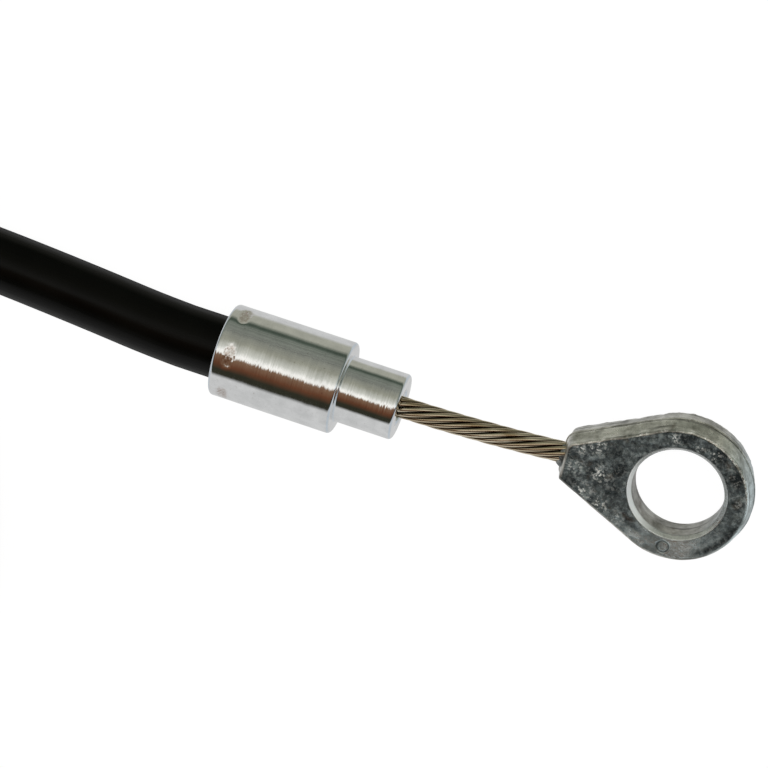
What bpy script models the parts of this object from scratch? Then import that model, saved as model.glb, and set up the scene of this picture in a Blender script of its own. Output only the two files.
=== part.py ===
"""Clutch cable: a sheathed control cable with a die-cast eye on each end of its inner strand.

Metres, +Z up, lying on the ground. The near end points along +X with its strand on the X axis.
The conduit runs back towards -X into a coil, and the far end comes out of the coil beside the
near one. The origin is on the ground under the middle of the near ferrule, strand and eye.
"""
import math

import bmesh
import bpy
from mathutils import Matrix, Vector

# Ferrule: a barrel staked on the conduit, and a smaller spigot that sits in the bracket's hole
BARREL_DIAMETER = 0.0140
BARREL_LENGTH = 0.0189
SPIGOT_DIAMETER = 0.0100
SPIGOT_LENGTH = 0.0089
FERRULE_BORE = 0.0049
FERRULE_CHAMFER = 0.0007
FERRULE_CORNER = 0.00021
BORE_CHAMFER = 0.00028
SOCKET_CHAMFER = 0.00021
SPIGOT_ROOT_FILLET = 0.0002
SOCKET_DEPTH = 0.0140
SOCKET_CLEARANCE = 0.00015
STAKE_COUNT = 6
STAKE_FROM_REAR = 0.0023
STAKE_LENGTH = 0.0018
STAKE_WIDTH = 0.0038
STAKE_DEPTH = 0.0006
STAKE_START_ANGLE = math.radians(-20.0)

# Conduit, from the outside in
CONDUIT_DIAMETER = 0.0095
JACKET_WALL = 0.0009
ARMOUR_PITCH = 0.0017
ARMOUR_FILL = 0.82
LINER_WALL = 0.0004
LINER_BORE = 0.0049
LAYER_CLEARANCE = 0.0001
ARMOUR_SETBACK = 0.0012
STRAIGHT_BEHIND_FERRULE = 0.0060

# Inner cable: round wires laid over a core, left-handed
STRAND_DIAMETER = 0.0032
OUTER_WIRE_COUNT = 10
LAY_LENGTH = 0.0264
STRAND_ASIDE_AT_MOUTH = 0.00044
STRAND_SLOPE_INSIDE = 0.025
STRAND_RING_STEP = math.radians(30.0)
LOBE_SIDE = math.radians(62.0)
STRAND_SHOWN = 0.0246
STRAND_INSIDE = 0.0175
STRAND_GRIPPED = 0.0075
STRAND_FIT = 0.00008

# The strand lies aslant in the liner's clearance, so the ferrule points a little to one side of it
FERRULE_LEAN = math.radians(2.0)
STRAND_OFFSET_AT_MOUTH = 0.00055

# Eye: a flat die casting with drafted sides that meet at a parting line
EYE_THICKNESS = 0.0052
EYE_HOLE_DIAMETER = 0.0132
EYE_HOLE_CHAMFER = 0.0006
EYE_HOLE_DRAFT = 0.00012
EYE_WALL = 0.0042
EYE_NOSE_LENGTH = 0.0175
EYE_NOSE_WIDTH = 0.0072
EYE_NOSE_RADIUS = 0.0010
EYE_SIDE_DRAFT = 0.00042
EYE_EDGE_ROUND = 0.00030
EYE_FLASH = 0.00010
EYE_COLLAR_DIAMETER = 0.0040
EYE_COLLAR_ASIDE = 0.00022
EYE_COLLAR_LENGTH = 0.0007
EJECTOR_MARK_DIAMETER = 0.0019
EJECTOR_MARK_DEPTH = 0.00015
EJECTOR_MARK_ANGLE = math.radians(-91.0)

# Coil of the conduit's spare length, and the two ties that hold it
COIL_BEHIND_MOUTH = 0.118
COIL_PITCH = 0.0096
COIL_OUTER_TURN_RADIUS = 0.0548
COIL_ASIDE = 0.0048
COIL_TOP_RISE = 0.0083
TIE_ANGLES = (math.radians(130.0), math.radians(230.0))
TIE_THICKNESS = 0.0010
TIE_WIDTH = 0.0045
TIE_CLEARANCE = 0.0003
TIE_HEAD = (0.0060, 0.0058, 0.0040)

TOUCH_GAP = 0.0003
CUT_OVERSHOOT = 0.0005
ROUND_STEPS = 40
SMALL_ROUND_STEPS = 24
EMPTY_SIZE = 0.010

# Sizes that follow from the ones above
AXIS_HEIGHT = BARREL_DIAMETER / 2
FERRULE_LENGTH = BARREL_LENGTH + SPIGOT_LENGTH
EYE_RING_RADIUS = EYE_HOLE_DIAMETER / 2 + EYE_WALL
EYE_REACH = STRAND_SHOWN + EYE_NOSE_LENGTH + EYE_RING_RADIUS
FERRULE_BACK = FERRULE_LENGTH * math.cos(FERRULE_LEAN) + AXIS_HEIGHT * math.sin(FERRULE_LEAN)
MOUTH_X = (FERRULE_BACK - EYE_REACH) / 2
COIL_X = MOUTH_X - COIL_BEHIND_MOUTH
COIL_LIFT = TIE_THICKNESS + TIE_CLEARANCE
COIL_LOW_Z = COIL_LIFT + CONDUIT_DIAMETER / 2
COIL_TOP_Z = COIL_LOW_Z + COIL_TOP_RISE
COIL_Y = COIL_ASIDE - COIL_OUTER_TURN_RADIUS
COIL_MIDDLE_RADIUS = COIL_OUTER_TURN_RADIUS - COIL_PITCH / 2
COIL_SIDE_SLOPE = math.atan2(COIL_TOP_RISE, COIL_PITCH / 2)
FAR_END_Y = COIL_Y - COIL_MIDDLE_RADIUS
STUB_LENGTH = SOCKET_DEPTH + STRAIGHT_BEHIND_FERRULE
STUB_START = FERRULE_LENGTH + STRAIGHT_BEHIND_FERRULE
# the collar and the strand's bore have a flat, not a corner, at the eye's parting line
HALF_SMALL_STEP = math.pi / SMALL_ROUND_STEPS

# Route of the conduit between the near stub and the coil, seen from the spigot's mouth (x, y, z)
NEAR_ROUTE = [
    (-0.0400, 0.00112, 0.00690),
    (-0.0470, 0.00185, 0.00670),
    (-0.0550, 0.00265, 0.00650),
    (-0.0640, 0.00345, 0.00630),
    (-0.0750, 0.00425, 0.00612),
]
# Route of the far lead, down from the top turn of the coil to the far stub
FAR_ROUTE = [
    (-0.0690, 0.0005, 0.0122),
    (-0.0590, 0.0009, 0.0095),
    (-0.0500, 0.0010, 0.0077),
    (-0.0410, 0.0009, 0.0071),
]

COLLECTION_NAME = "clutch_cable"


def clear_scene():
    for item in list(bpy.data.objects):
        bpy.data.objects.remove(item, do_unlink=True)


def make_collection(name):
    collection = bpy.data.collections.new(name)
    bpy.context.scene.collection.children.link(collection)
    return collection


def make_material(name, colour, roughness, metallic):
    material = bpy.data.materials.new(name)
    material.use_nodes = True
    shader = material.node_tree.nodes["Principled BSDF"]
    shader.inputs["Base Color"].default_value = (*colour, 1.0)
    shader.inputs["Roughness"].default_value = roughness
    shader.inputs["Metallic"].default_value = metallic
    return material


def make_empty(name, parts, location, turn=0.0):
    empty = bpy.data.objects.new(name, None)
    empty.empty_display_size = EMPTY_SIZE
    empty.location = location
    empty.rotation_euler = (0.0, 0.0, turn)
    parts.objects.link(empty)
    return empty


def add_object(name, mesh, collection, material=None, parent=None):
    item = bpy.data.objects.new(name, mesh)
    collection.objects.link(item)
    if material:
        mesh.materials.append(material)
    item.parent = parent
    return item


def shade_round(item, angle=math.radians(32.0)):
    item.data.shade_smooth()
    item.data.set_sharp_from_angle(angle=angle)


def profile_mesh(name, points, bearing=0.0):
    """A closed profile of (x along the axis, radius) points for a turn about X.

    bearing is where round the axis the profile starts, from +Z towards -Y.
    """
    mesh = bpy.data.meshes.new(name)
    edges = [(i, (i + 1) % len(points)) for i in range(len(points))]
    side, up = -math.sin(bearing), math.cos(bearing)
    mesh.from_pydata([(x, radius * side, radius * up) for x, radius in points], edges, [])
    return mesh


def turn(item, axis, steps):
    """Turn the item's profile round its own axis, and keep the turned mesh."""
    screw = item.modifiers.new("turned", "SCREW")
    screw.axis = axis
    screw.angle = math.tau
    screw.screw_offset = 0.0
    screw.steps = steps
    screw.render_steps = steps
    screw.use_merge_vertices = True
    screw.merge_threshold = 1e-7
    apply_modifiers(item)
    face_outwards(item)


def apply_modifiers(item):
    """Replace the object's mesh by what its modifiers make of it."""
    bpy.context.view_layer.update()
    graph = bpy.context.evaluated_depsgraph_get()
    mesh = bpy.data.meshes.new_from_object(item.evaluated_get(graph), depsgraph=graph)
    old = item.data
    item.modifiers.clear()
    item.data = mesh
    bpy.data.meshes.remove(old)


def cut(item, cutter, name):
    boolean = item.modifiers.new(name, "BOOLEAN")
    boolean.operation = "DIFFERENCE"
    boolean.solver = "EXACT"
    boolean.object = cutter


def hide_cutter(cutter):
    cutter.hide_render = True
    cutter.display_type = "WIRE"


def face_outwards(item):
    mesh = bmesh.new()
    mesh.from_mesh(item.data)
    bmesh.ops.recalc_face_normals(mesh, faces=mesh.faces)
    mesh.to_mesh(item.data)
    mesh.free()


def smooth_route(points, spacing):
    """Points about one spacing apart on a smooth curve through the given ones."""
    line = [Vector(p) for p in points]
    line.insert(0, 2 * line[0] - line[1])
    line.append(2 * line[-1] - line[-2])
    route = [line[1]]
    for a, b, c, d in zip(line, line[1:], line[2:], line[3:]):
        count = max(1, round((c - b).length / spacing))
        for i in range(1, count + 1):
            t = i / count
            route.append(0.5 * (2 * b + (c - a) * t + (2 * a - 5 * b + 4 * c - d) * t * t
                                + (3 * b - 3 * c + d - a) * t ** 3))
    return route


def make_tube(name, points, diameter, collection, material):
    curve = bpy.data.curves.new(name, "CURVE")
    curve.dimensions = "3D"
    curve.bevel_depth = diameter / 2
    curve.bevel_resolution = 4
    curve.use_fill_caps = True
    spline = curve.splines.new("POLY")
    spline.points.add(len(points) - 1)
    for point, place in zip(spline.points, points):
        point.co = (*place, 1.0)
    curve.materials.append(material)
    item = bpy.data.objects.new(name, curve)
    collection.objects.link(item)
    return item


def build_ferrule(end, seat, parts, cutters, material):
    """Stepped ferrule: the mouth of its spigot at the seat's origin, its socket towards -X."""
    barrel = BARREL_DIAMETER / 2
    spigot = SPIGOT_DIAMETER / 2
    bore = FERRULE_BORE / 2
    socket = CONDUIT_DIAMETER / 2 + SOCKET_CLEARANCE
    chamfer = FERRULE_CHAMFER
    rear = -FERRULE_LENGTH
    shoulder = -SPIGOT_LENGTH
    corner = FERRULE_CORNER
    outline = [
        (0.0, bore + BORE_CHAMFER),
        (0.0, spigot - chamfer),
        (-corner, spigot - corner),
        (-chamfer, spigot),
        (shoulder + SPIGOT_ROOT_FILLET, spigot),
        (shoulder, spigot + SPIGOT_ROOT_FILLET),
        (shoulder, barrel - chamfer),
        (shoulder - corner, barrel - corner),
        (shoulder - chamfer, barrel),
        (rear + chamfer, barrel),
        (rear + corner, barrel - corner),
        (rear, barrel - chamfer),
        (rear, socket + SOCKET_CHAMFER),
        (rear + SOCKET_CHAMFER, socket),
        (rear + SOCKET_DEPTH, socket),
        (rear + SOCKET_DEPTH, bore),
        (-BORE_CHAMFER, bore),
    ]
    item = add_object(end + "_ferrule", profile_mesh(end + "_ferrule", outline), parts, material, seat)
    turn(item, "X", ROUND_STEPS)
    for i in range(STAKE_COUNT):
        angle = STAKE_START_ANGLE + i * math.tau / STAKE_COUNT
        cutter = stake_cutter(f"{end}_stake_{i + 1}", angle, rear + STAKE_FROM_REAR, seat, cutters)
        cut(item, cutter, f"stake_{i + 1}")
    shade_round(item)
    return item


def stake_cutter(name, angle, along, seat, cutters):
    """The blunt chisel that dents the barrel: an ellipsoid with its middle in the barrel's skin."""
    tool = bmesh.new()
    bmesh.ops.create_uvsphere(tool, u_segments=14, v_segments=8, radius=1.0)
    scale = Matrix.Diagonal((STAKE_LENGTH / 2, STAKE_WIDTH / 2, STAKE_DEPTH, 1.0))
    lift = Matrix.Translation((along, 0.0, BARREL_DIAMETER / 2))
    tool.transform(Matrix.Rotation(angle, 4, "X") @ lift @ scale)
    mesh = bpy.data.meshes.new(name)
    tool.to_mesh(mesh)
    tool.free()
    cutter = add_object(name, mesh, cutters, None, seat)
    hide_cutter(cutter)
    return cutter


def build_turned_tube(name, start, length, outer, inner, seat, parts, material):
    """A straight tube along X from its start towards -X."""
    outline = [
        (start, inner),
        (start, outer),
        (start - length, outer),
        (start - length, inner),
    ]
    item = add_object(name, profile_mesh(name, outline), parts, material, seat)
    turn(item, "X", SMALL_ROUND_STEPS)
    shade_round(item)
    return item


def build_armour(end, seat, start, length, parts, material):
    """Close spiral of flat wire that fills the space between the jacket and the liner."""
    steps_per_turn = 10
    outer = CONDUIT_DIAMETER / 2 - JACKET_WALL - LAYER_CLEARANCE
    # the flats between the helix's corners still clear the liner
    inner = (LINER_BORE / 2 + LINER_WALL + LAYER_CLEARANCE) / math.cos(math.pi / steps_per_turn)
    half = ARMOUR_PITCH * ARMOUR_FILL / 2
    turns = (length - 2 * half) / ARMOUR_PITCH
    steps = int(turns * steps_per_turn)
    mesh = bmesh.new()
    previous = None
    for i in range(steps + 1):
        angle = i * math.tau / steps_per_turn
        centre = start - half - i * ARMOUR_PITCH / steps_per_turn
        corners = ((centre + half, inner), (centre + half, outer), (centre - half, outer), (centre - half, inner))
        ring = [mesh.verts.new((x, r * math.sin(angle), r * math.cos(angle))) for x, r in corners]
        if previous:
            for k in range(4):
                mesh.faces.new((previous[k], previous[(k + 1) % 4], ring[(k + 1) % 4], ring[k]))
        else:
            mesh.faces.new(ring)
        previous = ring
    mesh.faces.new(list(reversed(previous)))
    bmesh.ops.recalc_face_normals(mesh, faces=mesh.faces)
    data = bpy.data.meshes.new(end + "_conduit_armour")
    mesh.to_mesh(data)
    mesh.free()
    item = add_object(end + "_conduit_armour", data, parts, material, seat)
    shade_round(item)
    return item


def build_conduit_stub(end, seat, parts, black, steel, white):
    """The conduit's straight stretch in and behind the ferrule: jacket, armour and liner."""
    start = -FERRULE_LENGTH + SOCKET_DEPTH - TOUCH_GAP
    length = STUB_LENGTH - TOUCH_GAP
    outer = CONDUIT_DIAMETER / 2
    build_turned_tube(end + "_conduit_jacket", start, length, outer, outer - JACKET_WALL, seat, parts, black)
    inner_start = start - ARMOUR_SETBACK
    inner_length = length - ARMOUR_SETBACK
    build_armour(end, seat, inner_start, inner_length, parts, steel)
    liner = LINER_BORE / 2
    build_turned_tube(end + "_conduit_liner", start, length, liner + LINER_WALL, liner, seat, parts, white)


def strand_aside(x):
    """How far the strand's middle lies towards -Y, x being measured from the spigot's mouth."""
    shown = STRAND_SHOWN - EYE_COLLAR_LENGTH
    if x < 0:
        return STRAND_ASIDE_AT_MOUTH + STRAND_SLOPE_INSIDE * x
    if x > shown:
        return 0.0
    bend = (STRAND_ASIDE_AT_MOUTH + STRAND_SLOPE_INSIDE * shown) / shown ** 2
    return STRAND_ASIDE_AT_MOUTH + STRAND_SLOPE_INSIDE * x - bend * x ** 2


def build_strand(end, slide, parts, material):
    """Laid strand: a lobed section, one lobe for each outer wire, twisted along a line that bends a little."""
    wire = STRAND_DIAMETER / 2 * math.sin(math.pi / OUTER_WIRE_COUNT) / (1 + math.sin(math.pi / OUTER_WIRE_COUNT))
    pitch_radius = STRAND_DIAMETER / 2 - wire
    length = STRAND_INSIDE + STRAND_SHOWN + STRAND_GRIPPED
    rings = math.ceil(length / LAY_LENGTH * math.tau / STRAND_RING_STEP)
    lobe = []
    for i in range(OUTER_WIRE_COUNT):
        middle = i * math.tau / OUTER_WIRE_COUNT
        for side in (-LOBE_SIDE, 0.0, LOBE_SIDE):
            turn = middle + side
            lobe.append((
                pitch_radius * math.cos(middle) + wire * math.cos(turn),
                pitch_radius * math.sin(middle) + wire * math.sin(turn),
            ))
    mesh = bmesh.new()
    previous = None
    for i in range(rings + 1):
        along = length * i / rings
        twist = -math.tau * along / LAY_LENGTH
        cos, sin = math.cos(twist), math.sin(twist)
        x = along - STRAND_INSIDE
        aside = strand_aside(x)
        ring = [mesh.verts.new((x, y * cos - z * sin - aside, y * sin + z * cos)) for y, z in lobe]
        if previous:
            for k in range(len(ring)):
                n = (k + 1) % len(ring)
                mesh.faces.new((previous[k], previous[n], ring[n], ring[k]))
        else:
            mesh.faces.new(list(reversed(ring)))
        previous = ring
    mesh.faces.new(previous)
    bmesh.ops.recalc_face_normals(mesh, faces=mesh.faces)
    data = bpy.data.meshes.new(end + "_inner_cable")
    mesh.to_mesh(data)
    mesh.free()
    item = add_object(end + "_inner_cable", data, parts, material, slide)
    item.data.shade_smooth()
    return item


def eye_outline(inset):
    """The eye seen from above, its hole at the origin and its nose towards -X, moved in by inset."""
    ring = EYE_RING_RADIUS - inset
    half = EYE_NOSE_WIDTH / 2
    corner = EYE_NOSE_RADIUS
    centre = Vector((-EYE_NOSE_LENGTH + corner, half - corner))
    corner_radius = corner - inset
    # the side is tangent to the ring and to the nose's corner
    reach = centre.length
    bearing = math.atan2(centre.y, centre.x)
    tangent = bearing - math.acos((ring - corner_radius) / reach)
    points = []
    steps = 22
    for i in range(steps + 1):
        angle = tangent * i / steps
        points.append((ring * math.cos(angle), ring * math.sin(angle)))
    for i in range(4):
        angle = tangent + (math.pi - tangent) * i / 3
        points.append((centre.x + corner_radius * math.cos(angle), centre.y + corner_radius * math.sin(angle)))
    mirrored = [(x, -y) for x, y in reversed(points[1:])]
    return points + mirrored


def build_eye(end, eye, parts, cutters, material):
    """Die-cast eye, lofted between its parting line and its two drafted faces."""
    half = EYE_THICKNESS / 2
    face_inset = EYE_SIDE_DRAFT + EYE_EDGE_ROUND
    flash = EYE_FLASH
    levels = [
        (-half, face_inset),
        (-half + EYE_EDGE_ROUND, EYE_SIDE_DRAFT),
        (-flash, flash * 0.6),
        (0.0, -flash),
        (flash, flash * 0.6),
        (half - EYE_EDGE_ROUND, EYE_SIDE_DRAFT),
        (half, face_inset),
    ]
    mesh = bmesh.new()
    previous = None
    for height, inset in levels:
        ring = [mesh.verts.new((x, y, height)) for x, y in eye_outline(inset)]
        if previous:
            for k in range(len(ring)):
                n = (k + 1) % len(ring)
                mesh.faces.new((previous[k], previous[n], ring[n], ring[k]))
        else:
            mesh.faces.new(list(reversed(ring)))
        previous = ring
    mesh.faces.new(previous)
    bmesh.ops.recalc_face_normals(mesh, faces=mesh.faces)
    data = bpy.data.meshes.new(end + "_eye")
    mesh.to_mesh(data)
    mesh.free()
    item = add_object(end + "_eye", data, parts, material, eye)
    join_collar(item, end, eye, cutters)
    cut(item, hole_cutter(end, eye, cutters), "hole")
    cut(item, strand_cutter(end, eye, cutters), "strand")
    cut(item, ejector_cutter(end, eye, cutters), "ejector_mark")
    shade_round(item)
    return item


def join_collar(item, end, eye, cutters):
    """Short collar where the metal ran back along the strand, more of it on one side."""
    radius = EYE_COLLAR_DIAMETER / 2
    front = -EYE_NOSE_LENGTH - EYE_COLLAR_LENGTH
    back = -EYE_NOSE_LENGTH + EYE_NOSE_RADIUS
    chamfer = EYE_COLLAR_LENGTH * 0.4
    outline = [(back, 0.0), (back, radius), (front + chamfer, radius), (front, radius - chamfer), (front, 0.0)]
    name = end + "_eye_collar"
    collar = add_object(name, profile_mesh(name, outline, HALF_SMALL_STEP), cutters, None, eye)
    turn(collar, "X", SMALL_ROUND_STEPS)
    collar.location.y = -EYE_COLLAR_ASIDE
    hide_cutter(collar)
    union = item.modifiers.new("collar", "BOOLEAN")
    union.operation = "UNION"
    union.solver = "EXACT"
    union.object = collar


def hole_cutter(end, eye, cutters):
    """Turned cutter for the hole: drafted from both faces to the parting line, with chamfered rims."""
    half = EYE_THICKNESS / 2
    radius = EYE_HOLE_DIAMETER / 2
    chamfer = EYE_HOLE_CHAMFER
    draft = EYE_HOLE_DRAFT
    over = CUT_OVERSHOOT
    points = [
        (0.0, half + over),
        (radius + draft + chamfer + over, half + over),
        (radius + draft, half - chamfer),
        (radius, 0.0),
        (radius + draft, -half + chamfer),
        (radius + draft + chamfer + over, -half - over),
        (0.0, -half - over),
    ]
    mesh = bpy.data.meshes.new(end + "_eye_hole")
    edges = [(i, i + 1) for i in range(len(points) - 1)]
    mesh.from_pydata([(x, 0.0, z) for x, z in points], edges, [])
    cutter = add_object(end + "_eye_hole", mesh, cutters, None, eye)
    turn(cutter, "Z", ROUND_STEPS)
    hide_cutter(cutter)
    return cutter


def strand_cutter(end, eye, cutters):
    """Blind bore in the nose that holds the strand's end."""
    radius = STRAND_DIAMETER / 2 + STRAND_FIT
    front = -EYE_NOSE_LENGTH - EYE_COLLAR_LENGTH - CUT_OVERSHOOT
    back = -EYE_NOSE_LENGTH + STRAND_GRIPPED + TOUCH_GAP
    name = end + "_strand_bore"
    outline = [(back, 0.0), (back, radius), (front, radius), (front, 0.0)]
    cutter = add_object(name, profile_mesh(name, outline, HALF_SMALL_STEP), cutters, None, eye)
    turn(cutter, "X", SMALL_ROUND_STEPS)
    hide_cutter(cutter)
    return cutter


def ejector_cutter(end, eye, cutters):
    """Shallow round mark that the ejector pin leaves on the upper face."""
    radius = (EYE_HOLE_DIAMETER / 2 + EYE_HOLE_CHAMFER + EYE_RING_RADIUS - EYE_SIDE_DRAFT) / 2
    height = EJECTOR_MARK_DEPTH + CUT_OVERSHOOT
    tool = bmesh.new()
    bmesh.ops.create_cone(tool, cap_ends=True, segments=20, radius1=EJECTOR_MARK_DIAMETER / 2,
                          radius2=EJECTOR_MARK_DIAMETER / 2, depth=height)
    place = Vector((radius * math.cos(EJECTOR_MARK_ANGLE), radius * math.sin(EJECTOR_MARK_ANGLE),
                    EYE_THICKNESS / 2 - EJECTOR_MARK_DEPTH + height / 2))
    bmesh.ops.translate(tool, verts=tool.verts, vec=place)
    mesh = bpy.data.meshes.new(end + "_ejector_mark")
    tool.to_mesh(mesh)
    tool.free()
    cutter = add_object(end + "_ejector_mark", mesh, cutters, None, eye)
    hide_cutter(cutter)
    return cutter


def build_end(end, base_y, parts, cutters, paint):
    """One whole end of the cable: the strand on the line y = base_y, the ferrule leaning off it."""
    slide = make_empty(end + "_slide", parts, (MOUTH_X, base_y, AXIS_HEIGHT))
    eye = make_empty(end + "_eye_centre", parts, (STRAND_SHOWN + EYE_NOSE_LENGTH, 0.0, 0.0))
    eye.parent = slide
    seat = make_empty(end + "_ferrule_seat", parts,
                      (MOUTH_X, base_y - STRAND_OFFSET_AT_MOUTH, AXIS_HEIGHT), -FERRULE_LEAN)
    build_ferrule(end, seat, parts, cutters, paint["plated"])
    build_conduit_stub(end, seat, parts, paint["black"], paint["steel"], paint["white"])
    build_strand(end, slide, parts, paint["strand"])
    build_eye(end, eye, parts, cutters, paint["zinc"])


def stub_end(base_y):
    """Centre of the conduit where its straight stretch behind a ferrule ends."""
    back = STUB_START + TOUCH_GAP
    return (MOUTH_X - back * math.cos(FERRULE_LEAN),
            base_y - STRAND_OFFSET_AT_MOUTH + back * math.sin(FERRULE_LEAN),
            AXIS_HEIGHT)


def lead_start_x(radius, height, facing):
    """How far along +X from the coil's middle a lead starts, just clear of the coil's solid.

    radius and height place the lead's centre line, and facing is how far the coil's outer side
    leans back from upright where the lead meets it.
    """
    reach = CONDUIT_DIAMETER / 2
    meeting_height = height - reach * math.sin(facing)
    drop = (meeting_height - COIL_LOW_Z) * math.sin(facing)
    outer = COIL_OUTER_TURN_RADIUS + (reach - drop) / math.cos(facing) + TOUCH_GAP
    return math.sqrt(outer ** 2 - (radius - reach * math.cos(facing)) ** 2)


def build_run(parts, black):
    """The conduit between the near stub and the coil."""
    start = stub_end(0.0)
    route = [start]
    route.extend((MOUTH_X + x, y, z) for x, y, z in NEAR_ROUTE)
    coil_side = COIL_X + lead_start_x(COIL_OUTER_TURN_RADIUS, COIL_LOW_Z, 0.0)
    route.append((coil_side, COIL_ASIDE, COIL_LOW_Z))
    make_tube("conduit_run", smooth_route(route, 2.5 * CONDUIT_DIAMETER / 4), CONDUIT_DIAMETER, parts, black)


def build_far_lead(parts, black):
    """The conduit from the top of the coil down to the far ferrule."""
    lean_back = math.pi / 2 - COIL_SIDE_SLOPE
    coil_side = COIL_X + lead_start_x(COIL_MIDDLE_RADIUS, COIL_TOP_Z, lean_back)
    route = [(coil_side, FAR_END_Y, COIL_TOP_Z)]
    route.extend((MOUTH_X + x, FAR_END_Y + y, z) for x, y, z in FAR_ROUTE)
    route.append(stub_end(FAR_END_Y))
    make_tube("far_lead", smooth_route(route, 2.5 * CONDUIT_DIAMETER / 4), CONDUIT_DIAMETER, parts, black)


def coil_section(grow, steps=7):
    """Outline (radius, height) around the coil's three touching turns, moved out by grow."""
    reach = CONDUIT_DIAMETER / 2 + grow
    outer = (COIL_OUTER_TURN_RADIUS, COIL_LOW_Z)
    top = (COIL_MIDDLE_RADIUS, COIL_TOP_Z)
    inner = (COIL_OUTER_TURN_RADIUS - COIL_PITCH, COIL_LOW_Z)
    slope = COIL_SIDE_SLOPE
    arcs = ((outer, -math.pi / 2, math.pi / 2 - slope),
            (top, math.pi / 2 - slope, math.pi / 2 + slope),
            (inner, math.pi / 2 + slope, math.pi * 1.5))
    points = []
    for (radius, height), first, last in arcs:
        for i in range(steps + 1):
            angle = first + (last - first) * i / steps
            points.append((radius + reach * math.cos(angle), height + reach * math.sin(angle)))
    return points


def build_coil(parts, black):
    """The coiled length as one ring with the outline of its turns."""
    section = coil_section(0.0, 4)
    mesh = bpy.data.meshes.new("conduit_coil")
    edges = [(i, (i + 1) % len(section)) for i in range(len(section))]
    mesh.from_pydata([(radius, 0.0, height) for radius, height in section], edges, [])
    item = add_object("conduit_coil", mesh, parts, black)
    turn(item, "Z", ROUND_STEPS)
    item.location = (COIL_X, COIL_Y, 0.0)
    shade_round(item)
    return item


def build_tie(number, angle, parts, cutters, white):
    """Nylon strap drawn round the coil's turns, with its square head on the inner side."""
    name = f"coil_tie_{number}"
    inside = coil_section(TIE_CLEARANCE, 4)
    outside = coil_section(TIE_CLEARANCE + TIE_THICKNESS, 4)
    mesh = bmesh.new()
    loops = []
    for outline in (inside, outside):
        for side in (-0.5, 0.5):
            loops.append([mesh.verts.new((r, side * TIE_WIDTH, z)) for r, z in outline])
    in_back, in_front, out_back, out_front = loops
    count = len(inside)
    for k in range(count):
        n = (k + 1) % count
        mesh.faces.new((in_back[k], in_back[n], in_front[n], in_front[k]))
        mesh.faces.new((out_back[k], out_front[k], out_front[n], out_back[n]))
        mesh.faces.new((in_front[k], in_front[n], out_front[n], out_front[k]))
        mesh.faces.new((in_back[k], out_back[k], out_back[n], in_back[n]))
    bmesh.ops.recalc_face_normals(mesh, faces=mesh.faces)
    data = bpy.data.meshes.new(name)
    mesh.to_mesh(data)
    mesh.free()
    pivot = make_empty(name + "_centre", parts, (COIL_X, COIL_Y, 0.0), angle)
    item = add_object(name, data, parts, white, pivot)
    head_mesh = bmesh.new()
    bmesh.ops.create_cube(head_mesh, size=1.0)
    bmesh.ops.scale(head_mesh, verts=head_mesh.verts, vec=TIE_HEAD)
    inner_side = COIL_OUTER_TURN_RADIUS - COIL_PITCH - CONDUIT_DIAMETER / 2 - TIE_CLEARANCE
    bmesh.ops.translate(head_mesh, verts=head_mesh.verts,
                        vec=(inner_side - TIE_HEAD[0] / 2 - TIE_THICKNESS * 0.5, 0.0, COIL_LOW_Z))
    head_data = bpy.data.meshes.new(name + "_head")
    head_mesh.to_mesh(head_data)
    head_mesh.free()
    head = add_object(name + "_head", head_data, cutters, None, pivot)
    hide_cutter(head)
    union = item.modifiers.new("head", "BOOLEAN")
    union.operation = "UNION"
    union.solver = "EXACT"
    union.object = head
    return item


def main():
    clear_scene()
    parts = make_collection(COLLECTION_NAME)
    cutters = make_collection(COLLECTION_NAME + "_cutters")
    paint = {
        "plated": make_material("zinc_plate", (0.62, 0.63, 0.64), 0.22, 1.0),
        "zinc": make_material("die_cast_zinc", (0.16, 0.18, 0.18), 0.55, 0.8),
        "strand": make_material("oiled_wire", (0.32, 0.26, 0.19), 0.35, 0.9),
        "black": make_material("black_jacket", (0.012, 0.012, 0.010), 0.45, 0.0),
        "steel": make_material("spring_steel", (0.35, 0.35, 0.36), 0.40, 1.0),
        "white": make_material("natural_nylon", (0.75, 0.74, 0.70), 0.50, 0.0),
    }
    build_end("near", 0.0, parts, cutters, paint)
    build_end("far", FAR_END_Y, parts, cutters, paint)
    build_run(parts, paint["black"])
    build_far_lead(parts, paint["black"])
    build_coil(parts, paint["black"])
    for number, angle in enumerate(TIE_ANGLES, 1):
        build_tie(number, angle, parts, cutters, paint["white"])


main()
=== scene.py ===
"""Looks of the clutch cable: plated ferrules, laid wires, cast eyes and the black conduit, in metres."""

import math

import bpy
import numpy as np
from mathutils import Matrix, Vector, noise


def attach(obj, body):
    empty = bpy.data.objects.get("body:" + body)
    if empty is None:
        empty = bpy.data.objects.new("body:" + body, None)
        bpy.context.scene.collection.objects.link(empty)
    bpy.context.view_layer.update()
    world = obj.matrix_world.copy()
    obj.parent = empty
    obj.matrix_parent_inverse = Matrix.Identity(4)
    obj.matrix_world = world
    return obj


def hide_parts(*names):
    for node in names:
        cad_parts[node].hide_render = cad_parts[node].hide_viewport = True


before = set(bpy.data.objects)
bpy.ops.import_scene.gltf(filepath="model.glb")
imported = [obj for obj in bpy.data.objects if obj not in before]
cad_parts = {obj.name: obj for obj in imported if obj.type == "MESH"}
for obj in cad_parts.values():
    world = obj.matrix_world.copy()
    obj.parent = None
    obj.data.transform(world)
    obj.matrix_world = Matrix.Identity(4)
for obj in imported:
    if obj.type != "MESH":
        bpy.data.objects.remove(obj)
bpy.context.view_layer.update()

# Camera, from the photograph
CAMERA_AIM = Vector((-0.01571, 0.00233, 0.00700))
CAMERA_DISTANCE = 0.3871
CAMERA_AZIMUTH = math.radians(70.79)
CAMERA_ELEVATION = math.radians(62.95)
CAMERA_ROLL = math.radians(-146.24)
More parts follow.
